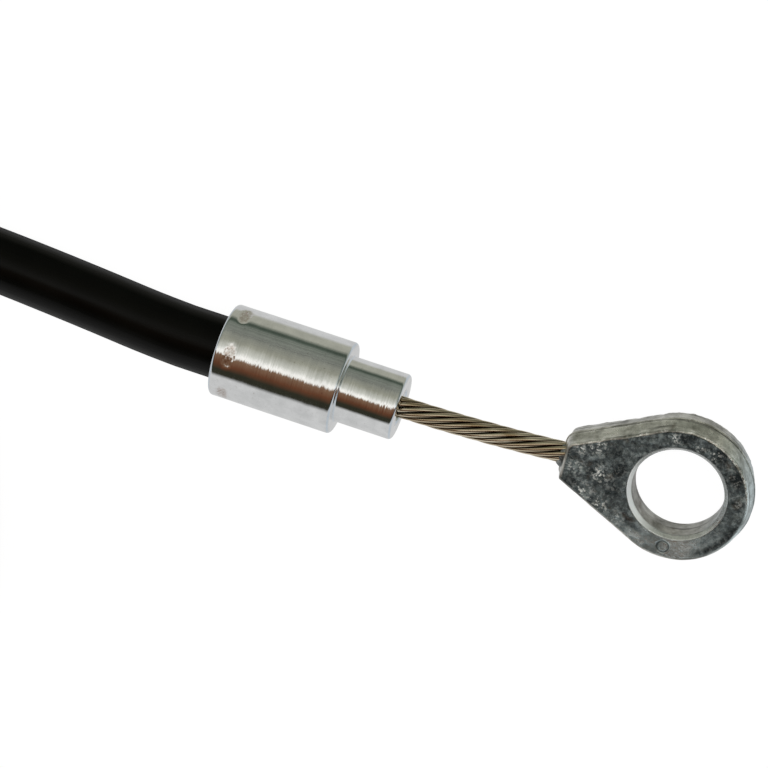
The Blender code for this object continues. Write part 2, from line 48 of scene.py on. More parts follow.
CAMERA_LENS = 124.2
CAMERA_SENSOR = 36.0

# Sizes of the part, as in its source
BARREL_DIAMETER = 0.0140
BARREL_LENGTH = 0.0189
SPIGOT_DIAMETER = 0.0100
SPIGOT_LENGTH = 0.0089
FERRULE_BORE = 0.0049
FERRULE_LENGTH = BARREL_LENGTH + SPIGOT_LENGTH
SOCKET_DEPTH = 0.0140
SOCKET_CLEARANCE = 0.00015
STAKE_COUNT = 6
STAKE_FROM_REAR = 0.0023
STAKE_LENGTH = 0.0018
STAKE_WIDTH = 0.0038
STAKE_START_ANGLE = math.radians(-20.0)
FERRULE_LEAN = math.radians(2.0)
STRAND_OFFSET_AT_MOUTH = 0.00055
CONDUIT_DIAMETER = 0.0095
JACKET_WALL = 0.0009
STRAIGHT_BEHIND_FERRULE = 0.0060
TOUCH_GAP = 0.0003
STRAND_DIAMETER = 0.0032
OUTER_WIRE_COUNT = 10
LAY_LENGTH = 0.0264
STRAND_ASIDE_AT_MOUTH = 0.00044
STRAND_SLOPE_INSIDE = 0.025
STRAND_SHOWN = 0.0246
STRAND_INSIDE = 0.0175
STRAND_GRIPPED = 0.0075
EYE_THICKNESS = 0.0052
EYE_HOLE_DIAMETER = 0.0132
EYE_HOLE_CHAMFER = 0.0006
EYE_HOLE_DRAFT = 0.00012
EYE_WALL = 0.0042
EYE_NOSE_LENGTH = 0.0175
EYE_NOSE_WIDTH = 0.0072
EYE_NOSE_RADIUS = 0.0010
EYE_COLLAR_DIAMETER = 0.0040
EYE_COLLAR_ASIDE = 0.00022
EYE_COLLAR_LENGTH = 0.0007
COIL_PITCH = 0.0096
COIL_OUTER_TURN_RADIUS = 0.0548
COIL_TOP_RISE = 0.0083
COIL_ASIDE = 0.0048
COIL_BEHIND_MOUTH = 0.118
TIE_ANGLES = (math.radians(130.0), math.radians(230.0))
TIE_THICKNESS = 0.0010
TIE_WIDTH = 0.0045
TIE_CLEARANCE = 0.0003
TIE_HEAD = (0.0060, 0.0058, 0.0040)

# Details that the scene adds, or draws finer than the part's source
FERRULE_SOFT_EDGE = 0.00055
SPIGOT_ROOT_FILLET = 0.00025
BORE_CHAMFER = 0.0003
SOCKET_CHAMFER = 0.0002
FERRULE_WAVE = 0.000004
STAKE_POCKET = 0.00013
STAKE_CRUMPLE = 0.00002
STAKED_LENGTH = 0.0045
TIE_EDGE = 0.00030
CORE_WIRE_SHARE = 0.98
EYE_WIDE_NOSE_RADIUS = 0.0021
EYE_EDGE = 0.00045
# the casting is a little skewed: how far each face is drawn in, on average and more towards +Y
EYE_UPPER_DRAFT = (0.00050, 0.00026)
EYE_LOWER_DRAFT = (0.00036, -0.00026)
MOULD_MISMATCH = np.array((0.00003, -0.00005, 0.0))
# how far in from the outline the parting groove's points lie, and how high
PARTING_GROOVE = [
    (0.00005, 0.00017), (0.00020, 0.00013), (0.00020, 0.00009), (-0.00004, 0.00007), (-0.00006, 0.0),
]
COIL_TURNED = 900
# degrees turned where the conduit steps inwards, climbs onto the lower turns and humps over them
COIL_JOG = (300.0, 360.0)
COIL_CLIMB = (590.0, 665.0)
COIL_HUMP = ((640.0, 680.0), (700.0, 740.0))
COIL_HUMP_RISE = 0.0012

# How finely surfaces are divided
FERRULE_SIDES = 300
CONDUIT_SIDES = 40
WIRE_SIDES = 20
STRAND_STEPS = 110
COLLAR_SIDES = 48

# Places that follow from them
AXIS_HEIGHT = BARREL_DIAMETER / 2
EYE_RING_RADIUS = EYE_HOLE_DIAMETER / 2 + EYE_WALL
EYE_REACH = STRAND_SHOWN + EYE_NOSE_LENGTH + EYE_RING_RADIUS
FERRULE_BACK = FERRULE_LENGTH * math.cos(FERRULE_LEAN) + AXIS_HEIGHT * math.sin(FERRULE_LEAN)
# to a micrometre
MOUTH_X = round((FERRULE_BACK - EYE_REACH) / 2, 6)
COIL_X = MOUTH_X - COIL_BEHIND_MOUTH
COIL_Y = COIL_ASIDE - COIL_OUTER_TURN_RADIUS
COIL_LOW_Z = TIE_THICKNESS + TIE_CLEARANCE + CONDUIT_DIAMETER / 2
COIL_TOP_Z = COIL_LOW_Z + COIL_TOP_RISE
COIL_MIDDLE_RADIUS = COIL_OUTER_TURN_RADIUS - COIL_PITCH / 2
COIL_INNER_RADIUS = COIL_OUTER_TURN_RADIUS - COIL_PITCH
COIL_SIDE_SLOPE = math.atan2(COIL_TOP_RISE, COIL_PITCH / 2)
FAR_END_Y = COIL_Y - COIL_MIDDLE_RADIUS
EYE_CENTRE_X = MOUTH_X + STRAND_SHOWN + EYE_NOSE_LENGTH

# Route of the conduit, as in the part's source: x from the spigot's mouth, y from its end, z
NEAR_ROUTE = [
    (-0.0400, 0.00112, 0.00690), (-0.0470, 0.00185, 0.00670), (-0.0550, 0.00265, 0.00650),
    (-0.0640, 0.00345, 0.00630), (-0.0750, 0.00425, 0.00612), (-0.0850, 0.00480, 0.00605),
    (-0.0950, 0.00480, 0.00605), (-0.1060, 0.00480, 0.00605),
]
FAR_ROUTE = [
    (-0.0690, 0.0005, 0.0122), (-0.0590, 0.0009, 0.0095), (-0.0500, 0.0010, 0.0077),
    (-0.0410, 0.0009, 0.0071),
]
# how far in front of the coil's middle the far lead leaves its top turn
FAR_LEAD = (0.018, 0.034)
ROUTE_SPACING = 0.0024

ENDS = {"near": 0.0, "far": FAR_END_Y}
BODY_OF_SLIDING = {"near": "near_cable", "far": "far_cable"}


def seat_matrix(end):
    """Frame of a ferrule: the spigot's mouth at its origin, its length towards -X."""
    place = Matrix.Translation((MOUTH_X, ENDS[end] - STRAND_OFFSET_AT_MOUTH, AXIS_HEIGHT))
    return place @ Matrix.Rotation(-FERRULE_LEAN, 4, "Z")


def new_object(name, data):
    made = bpy.data.objects.new(name, data)
    bpy.context.scene.collection.objects.link(made)
    return made


# Camera

def place_camera():
    data = bpy.data.cameras.new("camera")
    data.lens = CAMERA_LENS
    data.sensor_width = CAMERA_SENSOR
    data.clip_start = 0.01
    camera = new_object("camera", data)
    level = math.cos(CAMERA_ELEVATION)
    right = Vector((-math.sin(CAMERA_AZIMUTH), math.cos(CAMERA_AZIMUTH), 0.0))
    back = Vector((level * right.y, -level * right.x, math.sin(CAMERA_ELEVATION)))
    up = back.cross(right)
    turn = Matrix((right, up, back)).transposed() @ Matrix.Rotation(CAMERA_ROLL, 3, "Z")
    camera.matrix_world = Matrix.Translation(CAMERA_AIM + back * CAMERA_DISTANCE) @ turn.to_4x4()
    bpy.context.scene.camera = camera


# Mesh helpers

def add_piece(name, mesh, material, place=Matrix.Identity(4)):
    piece = new_object(name, mesh)
    piece.matrix_world = place
    mesh.materials.append(material)
    mesh.shade_smooth()
    return piece


def add_layer(mesh, name, values):
    """One number for each point of a mesh, or one vector, for its material to read."""
    values = np.asarray(values)
    if values.shape[-1] == 3 and values.ndim > 1:
        mesh.attributes.new(name, "FLOAT_VECTOR", "POINT").data.foreach_set("vector", values.reshape(-1))
    else:
        mesh.attributes.new(name, "FLOAT", "POINT").data.foreach_set("value", values.reshape(-1))


def grid_faces(rows, columns, wrap_rows, start):
    """Quads between rows of points that close on themselves."""
    row = np.arange(rows if wrap_rows else rows - 1)
    column = np.arange(columns)
    a, b = np.meshgrid(row, column, indexing="ij")
    next_row = (a + 1) % rows
    next_column = (b + 1) % columns
    faces = np.stack((a * columns + b, a * columns + next_column,
                      next_row * columns + next_column, next_row * columns + b), axis=-1)
    return faces.reshape(-1, 4) + start


def mesh_from_grids(name, grids):
    """One mesh of several grids: each is (points as rows x columns x 3, wrap_rows, cap_ends)."""
    points = []
    faces = []
    start = 0
    for grid, wrap_rows, cap_ends in grids:
        rows, columns = grid.shape[:2]
        points.append(grid.reshape(-1, 3))
        faces.extend(grid_faces(rows, columns, wrap_rows, start).tolist())
        if cap_ends:
            faces.append(list(range(start + columns - 1, start - 1, -1)))
            faces.append(list(range(start + (rows - 1) * columns, start + rows * columns)))
        start += rows * columns
    mesh = bpy.data.meshes.new(name)
    mesh.from_pydata(np.concatenate(points).tolist(), [], faces)
    mesh.update()
    return mesh


def sweep(path, radius, sides):
    """Rings of points around a path of vectors, with frames carried along it without twisting."""
    path = np.array([tuple(p) for p in path])
    ahead = np.gradient(path, axis=0)
    ahead /= np.linalg.norm(ahead, axis=1)[:, None]
    side = np.cross(ahead[0], (0.0, 0.0, 1.0))
    rings = []
    angles = np.arange(sides) * math.tau / sides
    for place, direction in zip(path, ahead):
        side = side - direction * np.dot(side, direction)
        side /= np.linalg.norm(side)
        other = np.cross(direction, side)
        rings.append(place + radius * (np.outer(np.cos(angles), side) + np.outer(np.sin(angles), other)))
    return np.array(rings)


def arc(centre_x, centre_y, radius, first, last, steps):
    """Points on an arc between two angles in degrees."""
    angles = np.radians(np.linspace(first, last, steps + 1))
    return [(centre_x + radius * math.cos(a), centre_y + radius * math.sin(a)) for a in angles]


def straight(a, b, spacing):
    """Points from a up to but without b, about one spacing apart."""
    count = max(1, round(math.dist(a, b) / spacing))
    return [tuple(a[k] + (b[k] - a[k]) * i / count for k in range(len(a))) for i in range(count)]


# Conduit

def smooth_route(points, spacing):
    """Points about one spacing apart on a smooth curve through the given ones."""
    line = [Vector(p) for p in points]
    line.insert(0, 2 * line[0] - line[1])
    line.append(2 * line[-1] - line[-2])
    route = [line[1]]
    for a, b, c, d in zip(line, line[1:], line[2:], line[3:]):
        count = max(1, round((c - b).length / spacing))
        for i in range(1, count + 1):
            t = i / count
            route.append(0.5 * (2 * b + (c - a) * t + (2 * a - 5 * b + 4 * c - d) * t * t
                                + (3 * b - 3 * c + d - a) * t ** 3))
    return route


def ease(value, low, high):
    """Zero up to low, one from high on, and a smooth slope between them."""
    t = min(max((value - low) / (high - low), 0.0), 1.0)
    return t * t * (3 - 2 * t)


def window(value, rise, fall):
    """One between two smooth slopes, each given by its first and last value, and zero outside them."""
    return ease(value, *rise) * (1.0 - ease(value, *fall))


def bell(value, middle, width):
    """One at the middle, and less the further from it."""
    return math.exp(-((value - middle) / width) ** 2)


def coil_point(turned):
    """Centre of the conduit after it has turned so many degrees round the coil."""
    climb = ease(turned, *COIL_CLIMB)
    radius = COIL_OUTER_TURN_RADIUS - COIL_PITCH * ease(turned, *COIL_JOG) + (COIL_PITCH / 2) * climb
    height = COIL_LOW_Z + COIL_TOP_RISE * climb + COIL_HUMP_RISE * window(turned, *COIL_HUMP)
    angle = math.radians(90.0 + turned)
    return Vector((COIL_X + radius * math.cos(angle), COIL_Y + radius * math.sin(angle), height))


def conduit_path():
    """The whole centre line, from the socket of the near ferrule to the socket of the far one."""
    socket_end = -FERRULE_LENGTH + SOCKET_DEPTH - TOUCH_GAP
    stub_end = -FERRULE_LENGTH - STRAIGHT_BEHIND_FERRULE
    stub = [Vector((x, 0.0, 0.0)) for x in np.linspace(socket_end, stub_end, 8)]
    near = [seat_matrix("near") @ place for place in stub]
    near += [Vector((MOUTH_X + x, y, z)) for x, y, z in NEAR_ROUTE]
    coil = [coil_point(turned) for turned in range(0, COIL_TURNED + 1, 10)]
    far = [Vector((COIL_X + x, FAR_END_Y, COIL_TOP_Z)) for x in FAR_LEAD]
    far += [Vector((MOUTH_X + x, FAR_END_Y + y, z)) for x, y, z in FAR_ROUTE]
    far += [seat_matrix("far") @ place for place in reversed(stub)]
    return smooth_route(near + coil + far, ROUTE_SPACING)


def build_conduit(material):
    path = conduit_path()
    outer = sweep(path, CONDUIT_DIAMETER / 2, CONDUIT_SIDES)
    inner = sweep(path, CONDUIT_DIAMETER / 2 - JACKET_WALL, CONDUIT_SIDES)
    mesh = mesh_from_grids("conduit_jacket", [(np.concatenate((outer, inner[::-1])), True, False)])
    steps = np.linalg.norm(np.diff(np.array([tuple(p) for p in path]), axis=0), axis=1)
    along = np.concatenate(([0.0], np.cumsum(steps)))
    along = np.concatenate((along, along[::-1]))
    angles = np.arange(CONDUIT_SIDES) * math.tau / CONDUIT_SIDES
    surface = np.broadcast_arrays(along[:, None], np.cos(angles), np.sin(angles))
    add_layer(mesh, "along_and_around", np.stack(surface, axis=-1))
    piece = add_piece("conduit_jacket", mesh, material)
    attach(piece, "sheath")
    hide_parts("near_conduit_jacket", "conduit_run", "conduit_coil", "far_lead", "far_conduit_jacket")
    return piece, path


# Ferrules

def ferrule_outline():
    """Closed outline of (x, radius), from the bore at the mouth round the outside to the bore again."""
    barrel = BARREL_DIAMETER / 2
    spigot = SPIGOT_DIAMETER / 2
    bore = FERRULE_BORE / 2
    socket = CONDUIT_DIAMETER / 2 + SOCKET_CLEARANCE
    shoulder = -SPIGOT_LENGTH
    rear = -FERRULE_LENGTH
    socket_floor = rear + SOCKET_DEPTH
    soft = FERRULE_SOFT_EDGE
    fillet = SPIGOT_ROOT_FILLET
    mouth = (0.0, bore + BORE_CHAMFER)
    staked = (rear + soft + STAKED_LENGTH, barrel)
    lip = (rear, socket + SOCKET_CHAMFER)
    points = straight((-BORE_CHAMFER, bore), mouth, spacing=0.0002)
    points += straight(mouth, (0.0, spigot - soft), spacing=0.0005)
    points += arc(-soft, spigot - soft, soft, 0.0, 90.0, 10)[:-1]
    points += straight((-soft, spigot), (shoulder + fillet, spigot), spacing=0.00035)
    points += arc(shoulder + fillet, spigot + fillet, fillet, -90.0, -180.0, 5)
    points += straight((shoulder, spigot + fillet), (shoulder, barrel - soft), spacing=0.0004)[1:]
    points += arc(shoulder - soft, barrel - soft, soft, 0.0, 90.0, 10)[:-1]
    points += straight((shoulder - soft, barrel), staked, spacing=0.00035)
    points += straight(staked, (rear + soft, barrel), spacing=0.00011)
    points += arc(rear + soft, barrel - soft, soft, 90.0, 180.0, 10)
    points += straight((rear, barrel - soft), lip, spacing=0.0004)[1:]
    points += straight(lip, (rear + SOCKET_CHAMFER, socket), spacing=0.0002)
    points += straight((rear + SOCKET_CHAMFER, socket), (socket_floor, socket), spacing=0.0014)
    points += straight((socket_floor, socket), (socket_floor, bore), spacing=0.0008)
    points += straight((socket_floor, bore), (-BORE_CHAMFER, bore), spacing=0.0014)
    return np.array(points)


def stake_depth(along, around, crumple):
    """How far the staking tool pushed the skin in, at places measured from the dent's middle."""
    squareness = 2.4
    ragged = 0.10
    rim, rim_width = 0.85, 0.10
    sunk_length, sunk_width, sunk_depth = 0.0024, 0.0034, 0.00003
    u = np.abs(along) / (STAKE_LENGTH / 2)
    v = np.abs(around) / (STAKE_WIDTH / 2)
    reach = (u ** squareness + v ** squareness) ** (1 / squareness) + crumple * ragged
    pocket = 1.0 / (1.0 + np.exp((reach - rim) / rim_width))
    sunk = sunk_depth * np.exp(-((along / sunk_length) ** 2 + (around / sunk_width) ** 2))
    return pocket, pocket * (STAKE_POCKET + STAKE_CRUMPLE * crumple) + sunk


def build_ferrule(end, material):
    angles = np.arange(FERRULE_SIDES) * math.tau / FERRULE_SIDES
    x, radius = (np.repeat(values[:, None], FERRULE_SIDES, axis=1) for values in ferrule_outline().T)
    # the barrel's outside, with its rounded edges
    outside = radius > BARREL_DIAMETER / 2 - 0.0009
    inwards = np.zeros_like(radius)
    crumple = np.zeros_like(radius)
    struck = np.zeros_like(radius)
    for row, column in zip(*np.nonzero(outside & (x < -FERRULE_LENGTH + STAKED_LENGTH))):
        place = Vector((x[row, column] * 2600.0, angles[column] * 11.0, ENDS[end] * 90.0))
        crumple[row, column] = noise.fractal(place, 0.8, 2.0, 3)
    for i in range(STAKE_COUNT):
        middle = STAKE_START_ANGLE + i * math.tau / STAKE_COUNT
        # the turn about X runs from +Z towards -Y
        offset = (angles - middle + math.pi) % math.tau - math.pi
        around = offset[None, :] * BARREL_DIAMETER / 2
        pocket, depth = stake_depth(x + FERRULE_LENGTH - STAKE_FROM_REAR, around, crumple)
        struck += pocket * outside
        inwards += depth
    # the barrel is not quite true, which bends what it mirrors
    wave = np.sin(x * 700.0 + 2.0 * np.sin(angles * 2.0)[None, :]) * np.sin(angles * 5.0 + 1.0)[None, :]
    radius = radius + np.where(outside, wave * FERRULE_WAVE - inwards, 0.0)
    grid = np.stack((x, -radius * np.sin(angles)[None, :], radius * np.cos(angles)[None, :]), axis=-1)
    mesh = mesh_from_grids(end + "_ferrule_turned", [(grid, True, False)])
    add_layer(mesh, "struck", struck.reshape(-1))
    piece = add_piece(end + "_ferrule_turned", mesh, material, seat_matrix(end))
    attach(piece, "sheath")
    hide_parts(end + "_ferrule")
    return piece


# Strand

def strand_aside(x):
    """How far the strand's middle lies towards -Y, x being measured from the spigot's mouth."""
    shown = STRAND_SHOWN - EYE_COLLAR_LENGTH
    bend = (STRAND_ASIDE_AT_MOUTH + STRAND_SLOPE_INSIDE * shown) / shown ** 2
    straight_part = STRAND_ASIDE_AT_MOUTH + STRAND_SLOPE_INSIDE * x
    return np.where(x < 0, straight_part, np.where(x > shown, 0.0, straight_part - bend * x ** 2))


def strand_layers():
    """Wires in each layer, their radius and the radius they are laid at, from the outside inwards."""
    space = STRAND_DIAMETER / 2
    layers = []
    for count in (OUTER_WIRE_COUNT, OUTER_WIRE_COUNT // 2):
        share = math.sin(math.pi / count)
        wire = space * share / (1 + share)
        layers.append((count, wire, space - wire))
        space -= 2 * wire
    layers.append((1, space * CORE_WIRE_SHARE, 0.0))
    return layers


def build_strand(end, material):
    """Sixteen round wires: ten over five over one, all laid left-handed along a line that bends a little."""
    along = np.linspace(0.0, STRAND_INSIDE + STRAND_SHOWN + STRAND_GRIPPED, STRAND_STEPS + 1)
    middle_y = -strand_aside(along - STRAND_INSIDE)
    layers = strand_layers()
    outer_wire = layers[0][1]
    grids = []
    tones = []
    depths = []
    for count, wire, lay_radius in layers:
        for i in range(count):
            turn = i * math.tau / count - math.tau * along / LAY_LENGTH
            laid = lay_radius * (1.0 + 0.006 * math.sin(i * 2.4))
            path = np.column_stack((along - STRAND_INSIDE, middle_y + laid * np.cos(turn),
                                    laid * np.sin(turn)))
            ring = sweep(path, wire, WIRE_SIDES)
            away = np.hypot(ring[:, :, 1] - middle_y[:, None], ring[:, :, 2])
            depths.append(((STRAND_DIAMETER / 2 - away) / (2 * outer_wire)).reshape(-1))
            grids.append((ring, False, True))
            tones.append(np.full(ring.shape[0] * ring.shape[1], 0.5 + 0.5 * math.sin(i * 7.3 + count)))
    name = end + "_strand_wires"
    mesh = mesh_from_grids(name, grids)
    add_layer(mesh, "wire_tone", np.concatenate(tones))
    add_layer(mesh, "wire_depth", np.concatenate(depths))
    piece = add_piece(name, mesh, material, Matrix.Translation((MOUTH_X, ENDS[end], AXIS_HEIGHT)))
    mesh.set_sharp_from_angle(angle=math.radians(50.0))
    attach(piece, BODY_OF_SLIDING[end])
    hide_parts(end + "_inner_cable")
    return piece


# Eyes

# Marks of the cast skin, in millimetres and degrees in the eye's plane
NOSE_BEGINS = -9.5
SMOOTH_ANGLE = -84.0
EJECTOR_MARK = (0.0, -8.74)
LEFT_GROOVE = ((-150.0, -138.0), (-122.0, -108.0))
# pits: x, y, size, depth
PITS = [
    (-9.85, 0.79, 0.50, 0.15), (-7.50, -0.40, 0.42, 0.15), (-11.1, -1.30, 0.50, 0.10),
    (-5.43, 7.64, 0.36, 0.12), (-3.10, 8.10, 0.32, 0.10), (-0.50, 8.20, 0.40, 0.12),
    (1.90, 8.60, 0.55, 0.12), (4.60, 7.30, 0.45, 0.14), (6.30, 6.40, 0.36, 0.14),
    (7.90, 4.60, 0.40, 0.14), (8.80, 2.40, 0.45, 0.14), (8.90, -0.40, 0.40, 0.14),
    (8.30, -3.00, 0.45, 0.10), (-13.9, 0.50, 0.60, 0.12), (-9.20, 4.60, 0.50, 0.10),
]
# paler (above 0) and darker patches that paint light and shade on the face, the darker ones mostly as shade
# over the pits: x, y, size, how much, share of bright grains painted as glints
PATCHES = [
    (-12.8, 3.9, 1.1, 0.10, 1.0), (-15.2, -0.4, 1.0, 0.25, 0.7), (-11.4, -0.4, 1.1, 0.30, 1.0),
    (-14.9, 2.6, 0.7, 0.25, 0.7), (-10.4, -5.3, 1.2, 0.25, 0.8), (-13.2, -3.8, 1.1, 0.20, 0.8),
    (-7.4, -6.6, 0.8, 0.20, 0.5), (3.6, 7.6, 0.8, 0.0, 0.6), (-2.3, 8.3, 0.7, 0.30, 0.8),
    (1.5, 8.0, 0.6, 0.20, 0.6), (-5.6, 3.6, 0.9, 0.30, 0.2), (2.6, -8.0, 2.8, 0.32, 0.0),
    (-4.2, -8.3, 1.6, 0.35, 0.0), (9.9, 2.6, 0.6, 0.50, 0.2), (-8.8, 0.7, 1.0, -0.50, 0.1),
    (7.7, 4.9, 1.2, -0.50, 0.2), (8.8, 1.2, 0.9, -0.40, 0.2), (-0.6, 8.8, 0.7, -0.35, 0.0),
    (-10.2, 3.9, 1.0, -0.30, 0.0), (-15.3, -2.6, 0.9, -0.30, 0.0), (4.8, 7.9, 1.1, -0.40, 0.1),
    (-9.0, -2.2, 1.2, -0.25, 0.1), (8.6, -4.2, 0.9, -0.30, 0.0),
]
# what the material is told of each point, and how pale the casting is beside its faces; the hole's wall is
# set darker as painted shade
MARKS = ("pale", "grains_and_painted_glints", "torn", "smooth_side", "chamfer")
SIDE_PALE = {"side": 0.62, "hole": 0.20, "chamfer": 0.35}
COLLAR_MARK = 0.2
# the casting's edge is burred on the side towards +Y
BURR_SIDE = (0.001, 0.004)


def half_outline(corner, spacing):
    """Points and outward normals of the eye's upper half, from the ring's tip to the nose's middle."""
    middle = Vector((-EYE_NOSE_LENGTH + EYE_NOSE_RADIUS, EYE_NOSE_WIDTH / 2 - EYE_NOSE_RADIUS))
    tangent = math.atan2(middle.y, middle.x) - math.acos((EYE_RING_RADIUS - EYE_NOSE_RADIUS) / middle.length)
    x = -EYE_NOSE_LENGTH + corner
    y = (EYE_RING_RADIUS - corner - math.cos(tangent) * x) / math.sin(tangent)
    count = round(EYE_RING_RADIUS * tangent / spacing)
    steps = 10

    def round_point(cx, cy, radius, angle):
        normal = (math.cos(angle), math.sin(angle))
        return cx + radius * normal[0], cy + radius * normal[1], *normal

    points = [round_point(0.0, 0.0, EYE_RING_RADIUS, tangent * i / count) for i in range(count)]
    points += straight(round_point(0.0, 0.0, EYE_RING_RADIUS, tangent),
                       round_point(x, y, corner, tangent), spacing)
    points += [round_point(x, y, corner, tangent + (math.pi - tangent) * i / steps) for i in range(steps + 1)]
    points += straight((-EYE_NOSE_LENGTH, y, -1.0, 0.0), (-EYE_NOSE_LENGTH, 0.0, -1.0, 0.0), spacing)[1:]
    return np.array(points)


def eye_outline(spacing):
    """Points and outward normals round the eye seen from above, from the ring's tip counter-clockwise."""
    upper = half_outline(EYE_WIDE_NOSE_RADIUS, spacing)
    middle = np.array([(-EYE_NOSE_LENGTH, 0.0, -1.0, 0.0)])
    lower = half_outline(EYE_NOSE_RADIUS, spacing)[1:][::-1] * np.array((1.0, -1.0, 1.0, -1.0))
    return np.concatenate((upper, middle, lower))


def polar(x, y):
    """Distance from the hole's middle, and angle in degrees from the ring's tip."""
    return math.hypot(x, y), math.degrees(math.atan2(y, x))


def rough_share(x, y):
    """Where the skin is torn and pitted (1) and where it is smooth (0), in millimetres in the eye's plane."""
    smooth = bell(polar(x, y)[1], SMOOTH_ANGLE, 44.0) if x > NOSE_BEGINS else 0.0
    nose = 0.5 * bell(x, -10.5, 3.0) * bell(y, -3.4, 1.5)
    return max(1.0 - 0.95 * smooth - nose, 0.0)


def face_tone(x, y):
    """How pale the face is at a place in millimetres, with painted light and shade, and how many bright
    grains, painted as glints, it has there.
    """
    pale = 0.37
    grains_and_painted_glints = 0.08
    for px, py, size, light, share in PATCHES:
        there = bell(math.dist((x, y), (px, py)), 0.0, size)
        pale += light * there * (1.0 - 0.6 * share)
        grains_and_painted_glints += share * there
    radius, angle = polar(x, y)
    # painted light: the smooth lower part of the ring is made paler
    if x > NOSE_BEGINS:
        pale += 0.34 * bell(angle, SMOOTH_ANGLE, 56.0)
    # painted shade in the groove on the left, in the crescent beside the hole and in the ejector pin's ring
    pale -= 0.40 * window(angle, *LEFT_GROOVE) * bell(radius, 8.4, 0.40)
    pale -= 0.50 * window(angle, (-70.0, -50.0), (-28.0, -8.0)) * bell(radius, 9.6, 0.42)
    pale -= 0.55 * bell(math.dist((x, y), EJECTOR_MARK), 0.86, 0.14)
    return min(max(pale, 0.0), 1.0), min(grains_and_painted_glints, 1.0)


def face_height(x, y, seed):
    """Height of the cast skin over the flat face, in metres, at a place in millimetres."""
    place = Vector((x, y, seed * 17.0))
    swell = noise.noise(place * 0.30) * 0.000060
    crust = noise.fractal(place * 1.25, 0.75, 2.1, 5) * 0.000062
    height = swell + rough_share(x, y) * crust
    for px, py, size, depth in PITS:
        away = ((x - px) ** 2 + (y - py) ** 2) / size ** 2
        if away < 9.0:
            wobble = 1.0 + 0.5 * noise.noise(place * 2.3)
            height -= depth * 0.001 * math.exp(-away * wobble)
    # shallow curved grooves beside the hole
    radius, angle = polar(x, y)
    height -= 0.00009 * window(angle, *LEFT_GROOVE) * bell(radius, 8.6, 0.32)
    height -= 0.00007 * window(angle, (-68.0, -52.0), (-26.0, -8.0)) * bell(radius, 9.0, 0.60)
    # ejector pin's mark: a ring cut round a slightly sunk disc
    away = math.dist((x, y), EJECTOR_MARK)
    height -= 0.00003 * (1.0 - ease(away, 0.80, 1.00))
    height -= 0.00011 * bell(away, 0.88 + 0.06 * noise.noise(place * 1.4), 0.14)
    return height


def half_casting(outline, outwards, draft):
    """One mould half of the eye: rings of the hole, chamfer, face, rounded edge, side and parting line."""
    base = outline[:, :2]
    normal = outline[:, 2:]
    draft = draft[0] + draft[1] * normal[:, 1:]
    half = EYE_THICKNESS / 2
    hole = EYE_HOLE_DIAMETER / 2
    under_chamfer, beside_chamfer = 0.0001, 0.00008
    edge_turn = math.radians(84.0)
    parting_inset, parting_height = 0.00004, 0.00024
    wall_top = half - EYE_HOLE_CHAMFER - under_chamfer
    hole_steps, face_steps, edge_steps, side_steps = 8, 52, 6, 9
    rows = []

    def ring_at(kind, places, height):
        rows.append((kind, np.column_stack((places, np.full(len(places), height)))))

    for i in range(hole_steps + 1):
        share = i / hole_steps
        ring_at("hole", outwards * (hole + EYE_HOLE_DRAFT * share), wall_top * share)
    for share in (0.0, 0.25, 0.5, 0.75, 0.95):
        wider = hole + EYE_HOLE_DRAFT + EYE_HOLE_CHAMFER * share
        ring_at("chamfer", outwards * wider, half - EYE_HOLE_CHAMFER * (1 - share))
    inner = outwards * (hole + EYE_HOLE_DRAFT + EYE_HOLE_CHAMFER + beside_chamfer)
    outer = base - normal * (draft + EYE_EDGE)
    for i in range(face_steps + 1):
        ring_at("face", inner + (outer - inner) * i / face_steps, half)
    for i in range(1, edge_steps + 1):
        turn = edge_turn * i / edge_steps
        inset = draft + EYE_EDGE - EYE_EDGE * math.sin(turn)
        ring_at("side", base - normal * inset, half - EYE_EDGE + EYE_EDGE * math.cos(turn))
    for i in range(1, side_steps):
        share = i / side_steps
        inset = draft * (1 - share) + parting_inset * share
        ring_at("side", base - normal * inset, (half - EYE_EDGE) * (1 - share) + parting_height * share)
    for inset, height in PARTING_GROOVE:
        ring_at("side", base - normal * inset, height)
    return rows


def roughen(grid, kinds, upper_rows, normal, outwards, seed):
    """Move the points of the plain casting onto its rough skin."""
    burr_from = EYE_THICKNESS / 2 - 2.0 * EYE_EDGE
    burr_full = EYE_THICKNESS / 2 - 0.5 * EYE_EDGE
    for row, kind in enumerate(kinds):
        top = row < upper_rows
        for column in range(grid.shape[1]):
            x, y, z = grid[row, column]
            place = Vector((x, y, z)) * 1000
            if kind == "face":
                lift = face_height(x * 1000, y * 1000, seed if top else seed + 5)
                grid[row, column, 2] += lift if top else -lift
            elif kind == "side":
                push = noise.fractal(place * Vector((0.55, 0.55, 0.9)), 0.9, 2.0, 3) * 0.000030
                push += noise.noise(place * 0.25) * 0.00006
                burr = ease(abs(z), burr_from, burr_full) * ease(y, *BURR_SIDE)
                push += burr * noise.fractal(place * 0.9, 0.8, 2.0, 3) * 0.00009
                grid[row, column, :2] += normal[column] * push
            else:
                push = noise.noise(place * Vector((0.5, 0.5, 1.2))) * 0.000010
                grid[row, column, :2] += outwards[column] * push


